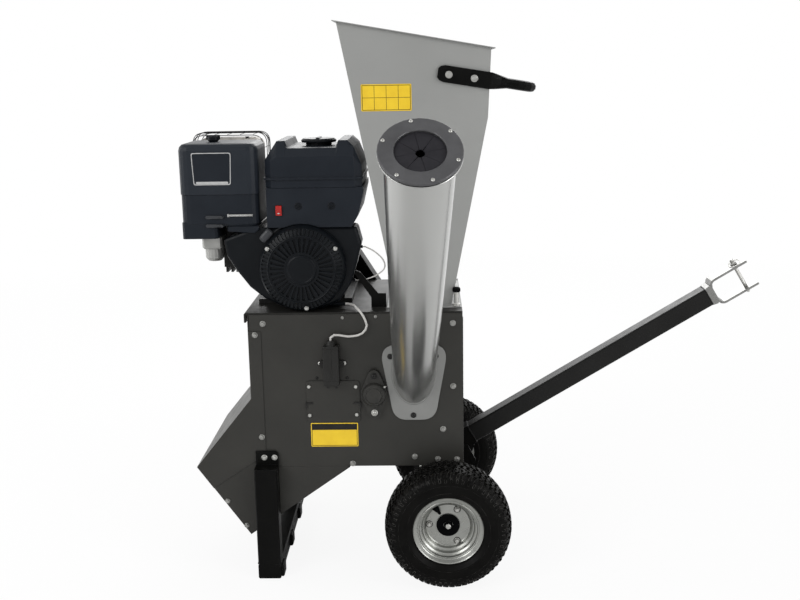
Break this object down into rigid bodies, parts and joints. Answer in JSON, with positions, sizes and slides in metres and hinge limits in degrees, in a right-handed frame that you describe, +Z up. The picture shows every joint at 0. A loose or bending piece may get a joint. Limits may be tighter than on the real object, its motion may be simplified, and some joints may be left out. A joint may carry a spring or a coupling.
{
  "type": "petrol wood chipper",
  "caption": "Petrol wood chipper with a slanted round feed tube, a tall hopper with a tube handle, a recoil-start engine, a belt drive, a folded discharge hood, pneumatic wheels and a tow bar.",
  "frame": {"origin": "on the ground, at the middle of the foot rail's underside", "axes": "+X towards the tow bar's clevis, +Y away from the feed tube towards the belt drive, +Z up"},
  "size_m": [1.5419, 1.231, 1.4399],
  "materials": {
    "housing_paint": "dark grey-brown metallic paint on folded steel sheet",
    "silver_paint": "glossy silver-grey paint on a steel tube",
    "hopper_paint": "light grey satin paint on steel sheet",
    "black_paint": "satin black powder coat",
    "ring_paint": "dark grey metallic paint",
    "black_plastic": "moulded black plastic, satin",
    "red_plastic": "red rocker",
    "rubber": "black rubber",
    "tyre": "black lugged tyre",
    "zinc": "zinc plated",
    "bare_steel": "bare steel",
    "cast_housing": "painted cast iron",
    "engine_casting": "die-cast aluminium",
    "muffler_metal": "aluminised sheet",
    "cable_sheath": "pale grey sheath"
  },
  "bodies": {
    "machine": {"housing_near_side": "housing_paint", "housing_far_side": "housing_paint", "housing_wrap": "housing_paint", "engine_bed": "housing_paint", "discharge_hood": "housing_paint", "discharge_chute": "housing_paint", "access_cover": "housing_paint", "rotor_scroll": "bare_steel", "anvil": "bare_steel", "near_bearing": "cast_housing", "far_bearing": "cast_housing", "feed_tube": "silver_paint", "feed_flap": "rubber", "feed_ring": "ring_paint", "hopper": "hopper_paint", "hopper_handle": "black_paint", "hopper_base_bolt": "zinc", "belt_guard_back": "black_paint", "belt_guard": "black_paint", "drive_belt": "rubber", "engine_block": "engine_casting", "blower_housing": "black_plastic", "recoil_cover": "black_plastic", "engine_stay": "black_paint", "tank_shroud": "black_plastic", "fuel_tank": "black_plastic", "air_cleaner_base": "black_plastic", "air_cleaner_cover": "black_plastic", "carburettor": "engine_casting", "muffler": "muffler_metal", "muffler_guard": "black_paint", "switch_box": "black_plastic", "switch_lead": "cable_sheath", "stop_wire": "cable_sheath", "near_leg": "black_paint", "far_leg": "black_paint", "foot_rail": "black_paint", "axle": "zinc", "axle_bracket": "black_paint", "tow_bar": "black_paint", "tow_clevis": "bare_steel"},
    "near_wheel": {"near_tyre": "tyre", "near_rim": "zinc"},
    "far_wheel": {"far_tyre": "tyre", "far_rim": "zinc"},
    "rotor": {"rotor_shaft": "bare_steel", "rotor_disc": "bare_steel", "chipping_knife_a": "bare_steel", "chipping_knife_b": "bare_steel", "rotor_pulley": "cast_housing"},
    "crank": {"crank_stub": "bare_steel", "clutch_pulley": "bare_steel"},
    "starter_grip": {"recoil_grip": "black_plastic"},
    "tank_cap": {"fuel_cap": "black_plastic"},
    "choke": {"choke_lever": "black_plastic"},
    "fuel_valve": {"fuel_lever": "black_plastic"},
    "ignition_switch": {"stop_switch": "red_plastic"},
    "cleaner_knob": {"air_cleaner_knob": "black_plastic"},
    "pin": {"hitch_pin": "zinc"},
    "pull_ring": {"hitch_ring": "zinc"}
  },
  "joints": [
    {"name": "near_wheel_spin", "type": "hinge", "parent": "machine", "child": "near_wheel", "pos_m": [0.475, -0.286, 0.165], "axis": [0, 1, 0], "continuous": true},
    {"name": "far_wheel_spin", "type": "hinge", "parent": "machine", "child": "far_wheel", "pos_m": [0.475, 0.286, 0.165], "axis": [0, 1, 0], "continuous": true},
    {"name": "rotor_spin", "type": "hinge", "parent": "machine", "child": "rotor", "pos_m": [0.287, 0, 0.499], "axis": [0, 1, 0], "continuous": true},
    {"name": "crank_spin", "type": "hinge", "parent": "machine", "child": "crank", "pos_m": [0.109, 0, 0.8278], "axis": [0, 1, 0], "continuous": true},
    {"name": "starter_pull", "type": "slide", "parent": "machine", "child": "starter_grip", "axis": [0, -1, 0], "range_m": [0, 0.5], "stiffness_N_per_m": 12, "springref_m": -0.1},
    {"name": "fuel_cap_turn", "type": "hinge", "parent": "machine", "child": "tank_cap", "pos_m": [0.1485, -0.068, 1.14], "axis": [0, 0, 1], "range_deg": [0, 90]},
    {"name": "choke_turn", "type": "hinge", "parent": "machine", "child": "choke", "pos_m": [-0.129, -0.1908, 0.9613], "axis": [0, -1, 0], "range_deg": [0, 30]},
    {"name": "fuel_valve_turn", "type": "hinge", "parent": "machine", "child": "fuel_valve", "pos_m": [-0.129, -0.1908, 0.9393], "axis": [0, 1, 0], "range_deg": [0, 30]},
    {"name": "stop_switch_rock", "type": "hinge", "parent": "machine", "child": "ignition_switch", "pos_m": [0.053, -0.186, 0.9756], "axis": [1, 0, 0], "range_deg": [-8, 8]},
    {"name": "air_cleaner_knob_turn", "type": "hinge", "parent": "machine", "child": "cleaner_knob", "pos_m": [-0.1205, -0.107, 1.1466], "axis": [0, 0, 1], "continuous": true},
    {"name": "hitch_pin_pull", "type": "slide", "parent": "machine", "child": "pin", "axis": [-0.515, 0, 0.8572], "range_m": [0, 0.1]},
    {"name": "pull_ring_swing", "type": "hinge", "parent": "pin", "child": "pull_ring", "pos_m": [1.25469, 0, 0.79687], "axis": [-0.8572, 0, -0.515], "range_deg": [0, 205]}
  ],
  "couplings": [
    {"joint": "crank_spin", "follows": "rotor_spin", "ratio": 1.4182}
  ]
}
